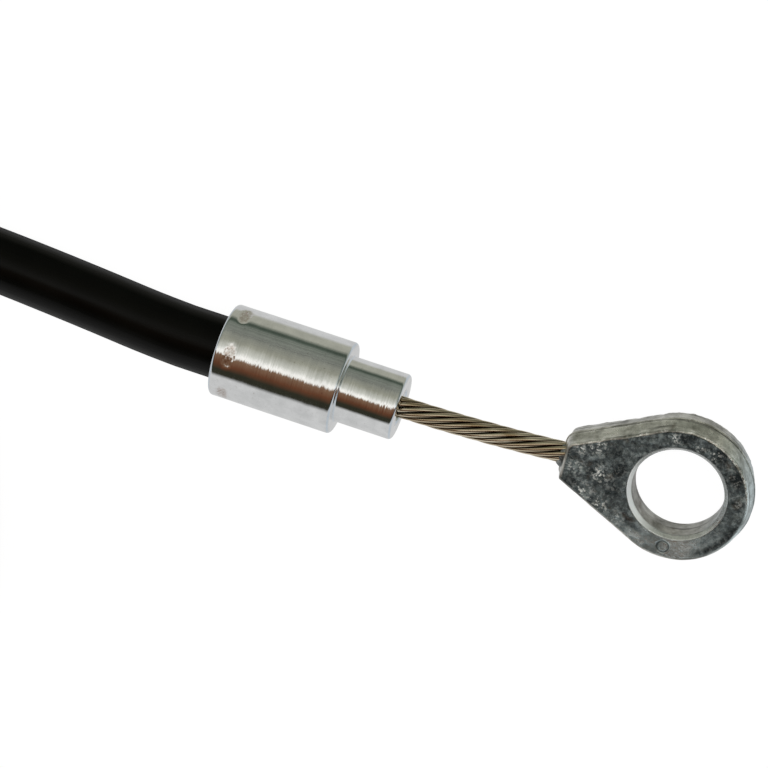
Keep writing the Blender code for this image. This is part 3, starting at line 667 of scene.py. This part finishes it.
def skin_marks(kind, x, y, z):
    """Values of the MARKS at a point of the casting."""
    angle = polar(x, y)[1]
    edge_from = EYE_THICKNESS / 2 - EYE_EDGE
    if kind == "face":
        return *face_tone(x * 1000, y * 1000), rough_share(x * 1000, y * 1000), 0.0, 0.0
    pale = SIDE_PALE[kind]
    grains_and_painted_glints = 0.0
    if kind == "side":
        # painted highlight along the rounded edges, towards the ring's tip
        rim = ease(abs(z), edge_from, edge_from + 0.6 * EYE_EDGE)
        pale += 0.6 * rim * bell(angle, 12.0, 42.0)
        # painted shade: the lower half of the side darker, the upper half a little darker towards its edge
        pale -= 0.06 * ease(z, 0.0004, edge_from) if z > 0 else 0.20
        # painted glints along the burred edge on the side towards +Y
        grains_and_painted_glints = 0.5 * ease(abs(z), edge_from, EYE_THICKNESS / 2) * ease(y, *BURR_SIDE)
    elif kind == "hole":
        # painted shade on the hole's wall, darkest on its side towards -X
        pale -= 0.18 * bell(polar(-x, y)[1], 0.0, 40.0)
    elif kind == "chamfer":
        # painted highlight on the chamfer, brightest at -158 degrees
        from_painted_highlight = (angle + 158.0 + 180.0) % 360.0 - 180.0
        pale += 0.65 * bell(from_painted_highlight, 0.0, 48.0)
    return pale, grains_and_painted_glints, 1.0, 1.0, float(kind == "chamfer")


def build_eye(end, seed, material):
    """Cast eye of two mould halves, as rings of sections from the hole round to the parting line."""
    outline = eye_outline(0.00019)
    outwards = outline[:, :2] / np.linalg.norm(outline[:, :2], axis=1)[:, None]
    upper = half_casting(outline, outwards, EYE_UPPER_DRAFT)
    lower = half_casting(outline, outwards, EYE_LOWER_DRAFT)[1:-1][::-1]
    kinds = [kind for kind, ring in upper + lower]
    rings = [ring for kind, ring in upper]
    rings += [ring * np.array((1.0, 1.0, -1.0)) + MOULD_MISMATCH for kind, ring in lower]
    grid = np.array(rings)
    roughen(grid, kinds, len(upper), outline[:, 2:], outwards, seed)
    grid = grid[:, ::-1]
    collar = collar_grid(seed)
    mesh = mesh_from_grids(end + "_eye_casting", [(grid, True, False), (collar, False, True)])
    marks = [skin_marks(kind, *place) for kind, ring in zip(kinds, grid) for place in ring]
    marks += [[COLLAR_MARK] * len(MARKS)] * (collar.shape[0] * collar.shape[1])
    for name, values in zip(MARKS, np.array(marks).T):
        add_layer(mesh, name, values)
    piece = add_piece(end + "_eye_casting", mesh, material,
                      Matrix.Translation((EYE_CENTRE_X, ENDS[end], AXIS_HEIGHT)))
    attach(piece, BODY_OF_SLIDING[end])
    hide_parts(end + "_eye")
    return piece


def collar_grid(seed):
    """Uneven ring of metal that ran back along the strand at the nose."""
    radius = EYE_COLLAR_DIAMETER / 2
    inner = STRAND_DIAMETER / 2 - 0.0001
    profile = [(0.0008, radius)]
    for t in np.linspace(0.0, 1.0, 6):
        profile.append((-EYE_COLLAR_LENGTH * t, radius + (inner - radius) * t ** 1.3))
    rings = []
    for behind, r in profile:
        ring = []
        for angle in np.arange(COLLAR_SIDES) * math.tau / COLLAR_SIDES:
            uneven = 1.0 + 0.05 * noise.noise(Vector((math.cos(angle) * 1.5, math.sin(angle) * 1.5, seed)))
            share = 0.12 + 0.88 * max(math.sin(angle), 0.0) ** 1.5
            grown = inner + (r * uneven - inner) * share
            reach = behind * (0.3 + 0.7 * share) if behind < 0 else behind
            ring.append((-EYE_NOSE_LENGTH + reach, -EYE_COLLAR_ASIDE * share - grown * math.sin(angle),
                         grown * math.cos(angle)))
        rings.append(ring)
    return np.array(rings)


# Ties

def coil_section(grow, steps):
    """Outline (radius, height) around the coil's three touching turns, moved out by grow."""
    reach = CONDUIT_DIAMETER / 2 + grow
    slope = math.degrees(COIL_SIDE_SLOPE)
    points = arc(COIL_OUTER_TURN_RADIUS, COIL_LOW_Z, reach, -90.0, 90.0 - slope, steps)
    points += arc(COIL_MIDDLE_RADIUS, COIL_TOP_Z, reach, 90.0 - slope, 90.0 + slope, steps)
    points += arc(COIL_INNER_RADIUS, COIL_LOW_Z, reach, 90.0 + slope, 270.0, steps)
    return points


def build_tie(number, angle, material):
    """Nylon strap with bevelled edges, a head and a cut tail."""
    line = np.array(coil_section(TIE_CLEARANCE + TIE_THICKNESS / 2, 14))
    closed = np.concatenate((line[-1:], line, line[:1]))
    ahead = closed[2:] - closed[:-2]
    ahead /= np.linalg.norm(ahead, axis=1)[:, None]
    outwards = np.column_stack((ahead[:, 1], -ahead[:, 0]))
    section = rounded_rectangle(TIE_WIDTH, TIE_THICKNESS, TIE_EDGE, steps=1)
    strap = [[(r + nr * t, w, z + nz * t) for w, t in section] for (r, z), (nr, nz) in zip(line, outwards)]
    inner_side = COIL_INNER_RADIUS - CONDUIT_DIAMETER / 2 - TIE_CLEARANCE
    head_x = inner_side - TIE_HEAD[0] / 2 - TIE_THICKNESS * 0.5
    name = f"coil_tie_{number}_strap"
    mesh = mesh_from_grids(name, [(np.array(strap), True, False), (head_grid(head_x), False, True),
                                  (tail_grid(head_x), False, True)])
    place = Matrix.Translation((COIL_X, COIL_Y, 0.0)) @ Matrix.Rotation(angle, 4, "Z")
    piece = add_piece(name, mesh, material, place)
    mesh.set_sharp_from_angle(angle=math.radians(40.0))
    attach(piece, "sheath")
    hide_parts(f"coil_tie_{number}")
    return piece


def rounded_rectangle(width, depth, corner, steps=4):
    points = []
    for cx, cy, first in ((1, 1, 0.0), (-1, 1, 90.0), (-1, -1, 180.0), (1, -1, 270.0)):
        centre = (cx * (width / 2 - corner), cy * (depth / 2 - corner))
        points += arc(*centre, corner, first, first + 90.0, steps)
    return points


def head_grid(middle):
    """The tie's head: a block with rounded corners and edges, standing on the strap."""
    length, width, height = TIE_HEAD
    soft = 0.0004
    lower = [(soft, -0.5), (soft * 0.3, -0.46), (0.0, -0.40)]
    upper = [(inset, -level) for inset, level in reversed(lower)]
    rings = []
    for inset, level in lower + upper:
        ring = rounded_rectangle(length - 2 * inset, width - 2 * inset, 0.0009)
        rings.append([(middle + x, y, COIL_LOW_Z + level * height) for x, y in ring])
    return np.array(rings)


def tail_grid(middle):
    """Stub of the strap's tail, cut off just over the head."""
    length = TIE_THICKNESS
    width = TIE_WIDTH * 0.9
    rings = []
    top = COIL_LOW_Z + TIE_HEAD[2] / 2
    for height, lean in ((-0.0010, 0.0), (0.0006, 0.0), (0.0016, 0.0001)):
        ring = rounded_rectangle(length, width, 0.00025, 2)
        rings.append([(middle + x + lean, y, top + height) for x, y in ring])
    return np.array(rings)


# Materials

class Tree:
    """Short way to write a material's or a world's nodes."""

    def __init__(self, owner):
        owner.use_nodes = True
        self.tree = owner.node_tree
        self.tree.nodes.clear()

    def node(self, kind, inputs=None, **settings):
        made = self.tree.nodes.new("ShaderNode" + kind)
        for key, value in settings.items():
            setattr(made, key, value)
        for key, value in (inputs or {}).items():
            self.set(made.inputs[key], value)
        return made

    def set(self, socket, value):
        if isinstance(value, bpy.types.NodeSocket):
            self.tree.links.new(value, socket)
        elif isinstance(value, tuple) and socket.type == "RGBA" and len(value) == 3:
            socket.default_value = (*value, 1.0)
        else:
            socket.default_value = value

    def math(self, operation, a, b=0.0, clamp=False):
        return self.node("Math", {0: a, 1: b}, operation=operation, use_clamp=clamp).outputs[0]

    def times(self, a, b):
        return self.math("MULTIPLY", a, b)

    def vector_math(self, operation, a, b):
        second = "Scale" if operation == "SCALE" else 1
        return self.node("VectorMath", {0: a, second: b}, operation=operation).outputs["Vector"]

    def axes(self, vector):
        return self.node("SeparateXYZ", {"Vector": vector}).outputs

    def layer(self, name):
        return self.node("Attribute", attribute_name=name).outputs["Fac"]

    def swing(self, value, amount):
        """A noise that swings about zero, by half the amount either way."""
        return self.times(self.math("SUBTRACT", value, 0.5), amount)

    def spread(self, value, low, high, to_low=0.0, to_high=1.0, smooth=False):
        kind = "SMOOTHSTEP" if smooth else "LINEAR"
        made = self.node("MapRange", {"Value": value, "From Min": low, "From Max": high,
                                      "To Min": to_low, "To Max": to_high}, interpolation_type=kind)
        return made.outputs["Result"]

    def window(self, value, rise, fall, smooth=True):
        """One between two slopes, and zero outside them."""
        return self.times(self.spread(value, *rise, smooth=smooth),
                          self.spread(value, *fall, 1.0, 0.0, smooth=smooth))

    def mix(self, share, a, b):
        made = self.node("Mix", data_type="RGBA")
        self.set(made.inputs["Factor"], share)
        self.set(made.inputs[6], a)
        self.set(made.inputs[7], b)
        return made.outputs[2]

    def stretched(self, vector, scale):
        return self.node("Mapping", {"Vector": vector, "Scale": scale}).outputs["Vector"]

    def noise(self, vector, scale, detail=3.0, roughness=0.5):
        made = self.node("TexNoise", {"Vector": vector, "Scale": scale, "Detail": detail,
                                      "Roughness": roughness})
        return made.outputs["Fac"]

    def ramp(self, value, stops):
        made = self.node("ValToRGB", {"Fac": value})
        elements = made.color_ramp.elements
        while len(elements) < len(stops):
            elements.new(0.5)
        for element, (place, colour) in zip(elements, stops):
            element.position = place
            element.color = (*colour, 1.0)
        return made.outputs["Color"]

    def bump(self, height, distance, strength=1.0, under=None):
        made = self.node("Bump", {"Height": height, "Distance": distance, "Strength": strength})
        if under is not None:
            self.set(made.inputs["Normal"], under)
        return made.outputs["Normal"]

    def surface(self, **inputs):
        shader = self.node("BsdfPrincipled")
        for key, value in inputs.items():
            self.set(shader.inputs[key.replace("_", " ")], value)
        self.node("OutputMaterial", {"Surface": shader.outputs[0]})


def new_material(name):
    material = bpy.data.materials.new(name)
    return material, Tree(material)


def tilt_round(t, normal, share):
    """Normal turned a little round the X axis, by a share that may be negative."""
    round_axis = t.vector_math("CROSS_PRODUCT", (1.0, 0.0, 0.0), normal)
    return t.vector_math("ADD", normal, t.vector_math("SCALE", round_axis, share))


def zinc_plate():
    """Bright zinc plating over turned steel, with chatter marks and fine rings, bluish on its edges."""
    material, t = new_material("zinc_plate")
    coordinates = t.node("TexCoord")
    place = coordinates.outputs["Object"]
    struck = t.layer("struck")
    parts = t.axes(place)
    # the teeth are the chatter marks along one side of the ferrule, deeper on the spigot
    angle = t.math("ARCTAN2", parts["Y"], parts["Z"])
    side = t.window(angle, (0.04, 0.24), (0.75, 1.15))
    patches = t.spread(t.noise(place, 190.0, 2.0), 0.40, 0.60, 0.35, 1.0, smooth=True)
    wide = t.noise(t.stretched(place, (5200.0, 60.0, 60.0)), 1.0, 1.0)
    teeth = t.swing(wide, t.times(side, patches))
    depth = t.spread(parts["X"], -SPIGOT_LENGTH - 0.0004, -SPIGOT_LENGTH, 0.15, 0.34)
    slow = t.noise(t.stretched(place, (260.0, 60.0, 60.0)), 1.0, 2.0)
    fine = t.noise(t.stretched(place, (7500.0, 240.0, 240.0)), 1.0, 1.0)
    share = t.math("ADD", t.times(teeth, depth), t.swing(slow, 0.050))
    share = t.math("ADD", share, t.swing(fine, t.spread(side, 0.0, 1.0, 0.012, 0.055)))
    bends = t.math("ABSOLUTE", t.axes(coordinates.outputs["Normal"])["X"])
    edge = t.window(bends, (0.25, 0.55), (0.75, 0.95))
    grime = t.noise(place, 420.0, 4.0, 0.6)
    specks = t.noise(place, 2900.0, 2.0)
    tone = t.mix(t.spread(grime, 0.35, 0.65), (0.76, 0.77, 0.77), (0.90, 0.91, 0.91))
    tone = t.mix(t.spread(specks, 0.68, 0.76, 0.0, 0.5), tone, (0.42, 0.37, 0.33))
    tone = t.mix(t.times(edge, 0.45), tone, (0.55, 0.70, 0.84))
    # painted shade in the stake dents: brown, in specks
    tone = t.mix(t.times(struck, t.spread(specks, 0.35, 0.60, 0.2, 0.8)), tone, (0.42, 0.34, 0.29))
    crumpled = t.noise(t.stretched(place, (5200.0, 1100.0, 1100.0)), 1.0, 2.0, 0.5)
    dents = t.bump(t.times(crumpled, struck), 0.00004)
    t.surface(Base_Color=tone, Metallic=1.0, Roughness=t.spread(fine, 0.30, 0.70, 0.05, 0.12),
              Normal=tilt_round(t, t.bump(fine, 0.0000010, 0.6, dents), share))
    return material


def die_cast_zinc():
    """Raw die-cast zinc: dark crumbly skin with bright grains on the faces, painted as near white glints,
    pale and streaky on the sides, with painted light and shade on the face, its rounded edges, the hole and
    the chamfer.
    """
    material, t = new_material("die_cast_zinc")
    place = t.node("TexCoord").outputs["Object"]
    pale, grains_and_painted_glints, torn, side, chamfer = (t.layer(name) for name in MARKS)
    clouds = t.noise(place, 360.0, 6.0, 0.68)
    veins = t.noise(place, 1250.0, 6.0, 0.76)
    grain = t.noise(place, 2600.0, 3.0, 0.6)
    stains = t.noise(place, 560.0, 3.0, 0.55)
    streaks = t.noise(t.stretched(place, (95.0, 95.0, 1300.0)), 1.0, 4.0, 0.6)

    side_tone = t.mix(t.spread(clouds, 0.36, 0.60), (0.36, 0.36, 0.32), (0.93, 0.93, 0.87))
    side_tone = t.mix(t.spread(streaks, 0.54, 0.64, 0.0, 0.75), side_tone, (0.16, 0.165, 0.15))
    # painted cool tint: the sides bluer towards +X
    painted_cool_tint = t.mix(t.spread(t.axes(place)["X"], 0.004, 0.010), (1.0, 1.0, 1.0), (0.86, 1.0, 1.10))
    side_tone = t.vector_math("MULTIPLY", side_tone, painted_cool_tint)
    # the sides, hole and chamfer are painted darker where pale is low, which carries their painted shade
    side_tone = t.mix(t.spread(pale, 0.0, 0.7, 0.62, 0.0), side_tone, (0.0, 0.0, 0.0))

    uneven = t.math("ADD", t.swing(clouds, 1.1), t.swing(veins, 2.1))
    uneven = t.times(uneven, t.spread(torn, 0.0, 1.0, 0.30, 1.0))
    light = t.math("ADD", pale, uneven, clamp=True)
    face_tone = t.ramp(light, [(0.0, (0.033, 0.042, 0.044)), (0.4, (0.14, 0.170, 0.175)),
                               (0.75, (0.40, 0.47, 0.475)), (1.0, (0.72, 0.79, 0.78))])

    tone = t.mix(side, face_tone, side_tone)
    tone = t.mix(t.spread(stains, 0.60, 0.74, 0.0, 0.5), tone, (0.11, 0.080, 0.050))
    # painted highlight: the chamfer is painted a pale bluish white where pale is high
    tone = t.mix(t.times(chamfer, pale), tone, (0.90, 0.97, 1.0))
    crystals = t.node("TexVoronoi", {"Vector": place, "Scale": 3900.0}).outputs["Color"]
    chance = t.node("SeparateColor", {"Color": crystals}).outputs["Red"]
    # painted glints: the bright grains are painted near white
    glint = t.times(t.spread(chance, 0.66, 0.74), t.spread(veins, 0.42, 0.50))
    glint = t.times(glint, grains_and_painted_glints)
    tone = t.mix(glint, tone, (0.92, 0.94, 0.90))

    # metal is taken out where the painted glints and the chamfer's painted highlight lie, so that they show
    # near white
    bright = t.math("MAXIMUM", glint, t.times(chamfer, t.spread(pale, 0.45, 0.85)))
    dull = t.times(t.spread(light, 0.0, 1.0, 0.42, 0.24), t.spread(chamfer, 0.0, 1.0, 1.0, 0.6))
    rough_part = t.math("SUBTRACT", 1.0, t.times(side, 0.75))
    rough_part = t.times(rough_part, t.spread(torn, 0.0, 1.0, 0.35, 1.0))
    normal = t.bump(t.times(clouds, rough_part), 0.00034)
    normal = t.bump(t.times(veins, rough_part), 0.00026, 1.0, normal)
    normal = t.bump(t.times(grain, rough_part), 0.00003, 1.0, normal)
    facets = t.vector_math("SUBTRACT", crystals, (0.5, 0.5, 0.5))
    facets = t.vector_math("SCALE", facets, t.times(grains_and_painted_glints, 0.8))
    t.surface(Base_Color=tone, Metallic=t.spread(bright, 0.0, 1.0, 0.92, 0.08), Roughness=dull,
              Normal=t.vector_math("ADD", normal, facets))
    return material


def wire_steel():
    """Drawn steel wire, tan on its crowns, with painted shade in the gaps between the wires."""
    material, t = new_material("wire_steel")
    place = t.node("TexCoord").outputs["Object"]
    film = t.noise(t.stretched(place, (200.0, 700.0, 700.0)), 1.0, 3.0)
    tone = t.mix(t.layer("wire_tone"), (0.62, 0.52, 0.37), (0.86, 0.77, 0.60))
    tone = t.mix(t.spread(film, 0.45, 0.70), tone, (0.46, 0.35, 0.21))
    # painted shade: the deeper a point lies between the wires, the nearer black its colour
    painted_gap_shade = t.spread(t.layer("wire_depth"), 0.02, 0.27, smooth=True)
    tone = t.mix(painted_gap_shade, tone, (0.045, 0.033, 0.018))
    t.surface(Base_Color=tone, Metallic=1.0, Roughness=t.spread(film, 0.3, 0.7, 0.14, 0.24),
              Normal=t.bump(t.noise(place, 2600.0), 0.000002, 0.4))
    return material


def black_jacket():
    """Extruded black PVC: satin, with faint lines along its length."""
    material, t = new_material("black_jacket")
    surface = t.node("Attribute", attribute_name="along_and_around").outputs["Vector"]
    place = t.node("TexCoord").outputs["Object"]
    lines = t.noise(t.stretched(surface, (25.0, 4.5, 4.5)), 1.0, 3.0)
    grain = t.noise(place, 3200.0, 2.0)
    scuffs = t.noise(place, 160.0, 4.0)
    tone = t.mix(t.spread(scuffs, 0.35, 0.7), (0.0008, 0.0008, 0.0005), (0.0018, 0.0018, 0.0013))
    aslant = t.math("POWER", t.node("LayerWeight", {"Blend": 0.5}).outputs["Facing"], 4.0)
    roughness = t.math("ADD", t.spread(lines, 0.3, 0.7, 0.24, 0.36), t.times(aslant, 0.6))
    t.surface(Base_Color=tone, Metallic=0.0, Roughness=roughness, Specular_IOR_Level=0.11,
              Normal=t.bump(grain, 0.000006, 0.4, t.bump(lines, 0.00006, 0.5)))
    return material


def clouded(name, dark, pale, cloud, roughness, grain, **inputs):
    """A plain finish: two near tones in clouds, and a grain. Clouds and grain give the noise's settings."""
    material, t = new_material(name)
    place = t.node("TexCoord").outputs["Object"]
    share = t.noise(place, *cloud)
    t.surface(Base_Color=t.mix(share, dark, pale), Roughness=t.spread(share, 0.3, 0.7, *roughness),
              Normal=t.bump(t.noise(place, grain[0]), 0.00001, grain[1]), **inputs)
    return material


def spring_steel():
    """Flat steel wire of the armour, dull grey with brown drawing marks."""
    return clouded("spring_steel", (0.30, 0.29, 0.28), (0.46, 0.46, 0.46), cloud=(500.0, 4.0),
                   roughness=(0.32, 0.5), grain=(3000.0, 0.4), Metallic=1.0)


def liner_plastic():
    """Milky white liner tube."""
    return clouded("liner_plastic", (0.72, 0.71, 0.67), (0.80, 0.79, 0.76), cloud=(200.0, 3.0),
                   roughness=(0.42, 0.42), grain=(1500.0, 0.3), Metallic=0.0)


def tie_nylon():
    """Natural nylon: milky, with a fine moulded grain."""
    return clouded("tie_nylon", (0.66, 0.65, 0.60), (0.78, 0.77, 0.72), cloud=(180.0, 3.0),
                   roughness=(0.38, 0.5), grain=(2200.0, 0.4), Metallic=0.0, Subsurface_Weight=0.08,
                   Subsurface_Scale=0.002)


def paint_node(node, material):
    """Give a CAD node that stays in view its finish."""
    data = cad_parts[node].data
    data.materials.clear()
    data.materials.append(material)


# Studio: what stands round the object, as plain bands round its length, by the angle in degrees from
# straight up towards +Y
PAPER = (0.63, 0.63, 0.63)
GAP = (0.03, 0.03, 0.02)
BENCH_EDGE = (0.13, 0.05, 0.025)
BENCH = (0.22, 0.13, 0.08)
WINDOW = (1.05, 1.03, 0.98)
LIT_WALL = (0.65, 0.65, 0.59)
WALL = (0.33, 0.33, 0.27)
FAR_WALL = (0.22, 0.23, 0.20)
CORNER = (0.17, 0.19, 0.16)
FRAME = (0.07, 0.09, 0.07)
CEILING = (0.40, 0.40, 0.34)
STUDIO = [
    (-180.0, PAPER), (-47.0, PAPER), (-38.0, GAP), (-25.0, GAP),
    (-10.0, BENCH_EDGE), (10.0, BENCH), (15.0, WINDOW), (20.0, WINDOW),
    (30.0, LIT_WALL), (50.0, WALL), (75.0, FAR_WALL), (99.0, CORNER),
    (104.0, FRAME), (110.0, FRAME), (121.0, CEILING), (142.0, CEILING),
    (154.0, PAPER), (180.0, PAPER),
]


def build_world():
    world = bpy.data.worlds.new("studio")
    bpy.context.scene.world = world
    t = Tree(world)
    parts = t.axes(t.node("TexCoord").outputs["Generated"])
    angle = t.math("ARCTAN2", parts["Y"], parts["Z"])
    stops = [((degrees + 180.0) / 360.0, colour) for degrees, colour in STUDIO]
    bands = t.ramp(t.spread(angle, -math.pi, math.pi), stops)
    # fine uneven lines in the upper bands
    lines = t.node("TexNoise", {"W": t.times(angle, 26.0), "Scale": 1.0, "Detail": 2.0},
                   noise_dimensions="1D").outputs["Fac"]
    upper = t.window(angle, (0.9, 1.2), (1.9, 2.1), smooth=False)
    level = t.math("ADD", 1.0, t.swing(lines, t.times(upper, 1.6)))
    studio = t.node("Background", {"Color": bands, "Strength": level})
    white = t.node("Background", {"Color": (1.0, 1.0, 1.0), "Strength": 1.0})
    seen = t.node("LightPath").outputs["Is Camera Ray"]
    both = t.node("MixShader", {"Fac": seen, 1: studio.outputs[0], 2: white.outputs[0]})
    t.node("OutputWorld", {"Surface": both.outputs[0]})


def build_floor():
    """Pale floor that keeps a soft shadow, and shows as near white to the camera."""
    size = 3.0
    mesh = bpy.data.meshes.new("floor")
    mesh.from_pydata([(-size, -size, 0.0), (size, -size, 0.0), (size, size, 0.0), (-size, size, 0.0)],
                     [], [(0, 1, 2, 3)])
    floor = new_object("floor", mesh)
    floor.visible_glossy = False
    material, t = new_material("floor")
    lit = t.node("BsdfDiffuse", {"Color": (0.86, 0.86, 0.86)})
    glow = t.node("Emission", {"Color": (1.0, 1.0, 1.0), "Strength": 1.09})
    seen = t.node("LightPath").outputs["Is Camera Ray"]
    both = t.node("MixShader", {"Fac": t.times(seen, 0.88), 1: lit.outputs[0], 2: glow.outputs[0]})
    t.node("OutputMaterial", {"Surface": both.outputs[0]})
    mesh.materials.append(material)


def add_lamp(name, place, aim, size, power):
    """Soft lamp that lights dull surfaces and leaves the studio's bands alone in the bright ones."""
    data = bpy.data.lights.new(name, "AREA")
    data.size = size
    data.energy = power
    lamp = new_object(name, data)
    lamp.location = place
    lamp.rotation_euler = (Vector(aim) - Vector(place)).to_track_quat("-Z", "Y").to_euler()
    lamp.visible_glossy = False


def main():
    place_camera()
    conduit, path = build_conduit(black_jacket())
    plated = zinc_plate()
    wires = wire_steel()
    cast = die_cast_zinc()
    pieces = {}
    for seed, end in enumerate(ENDS, 1):
        pieces[end] = (build_ferrule(end, plated), build_strand(end, wires), build_eye(end, seed, cast))
    nylon = tie_nylon()
    ties = [build_tie(number, angle, nylon) for number, angle in enumerate(TIE_ANGLES, 1)]
    layers = {"_conduit_armour": spring_steel(), "_conduit_liner": liner_plastic()}
    inside = [end + layer for end in ENDS for layer in layers]
    for end in ENDS:
        for layer, material in layers.items():
            paint_node(end + layer, material)
    # the far end lies beside the near one only because the length is coiled up, so plating doesn't mirror it
    for piece in (conduit, *pieces["far"], *(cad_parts[name] for name in inside)):
        piece.visible_glossy = False
    build_world()
    build_floor()
    add_lamp("key", place=(0.15, 0.35, 0.75), aim=(0.0, 0.0, 0.0), size=0.5, power=2.2)
    add_lamp("fill", place=(-0.45, -0.45, 0.6), aim=(-0.08, -0.05, 0.0), size=0.6, power=1.4)
    bpy.context.scene.view_settings.view_transform = "Standard"


main()
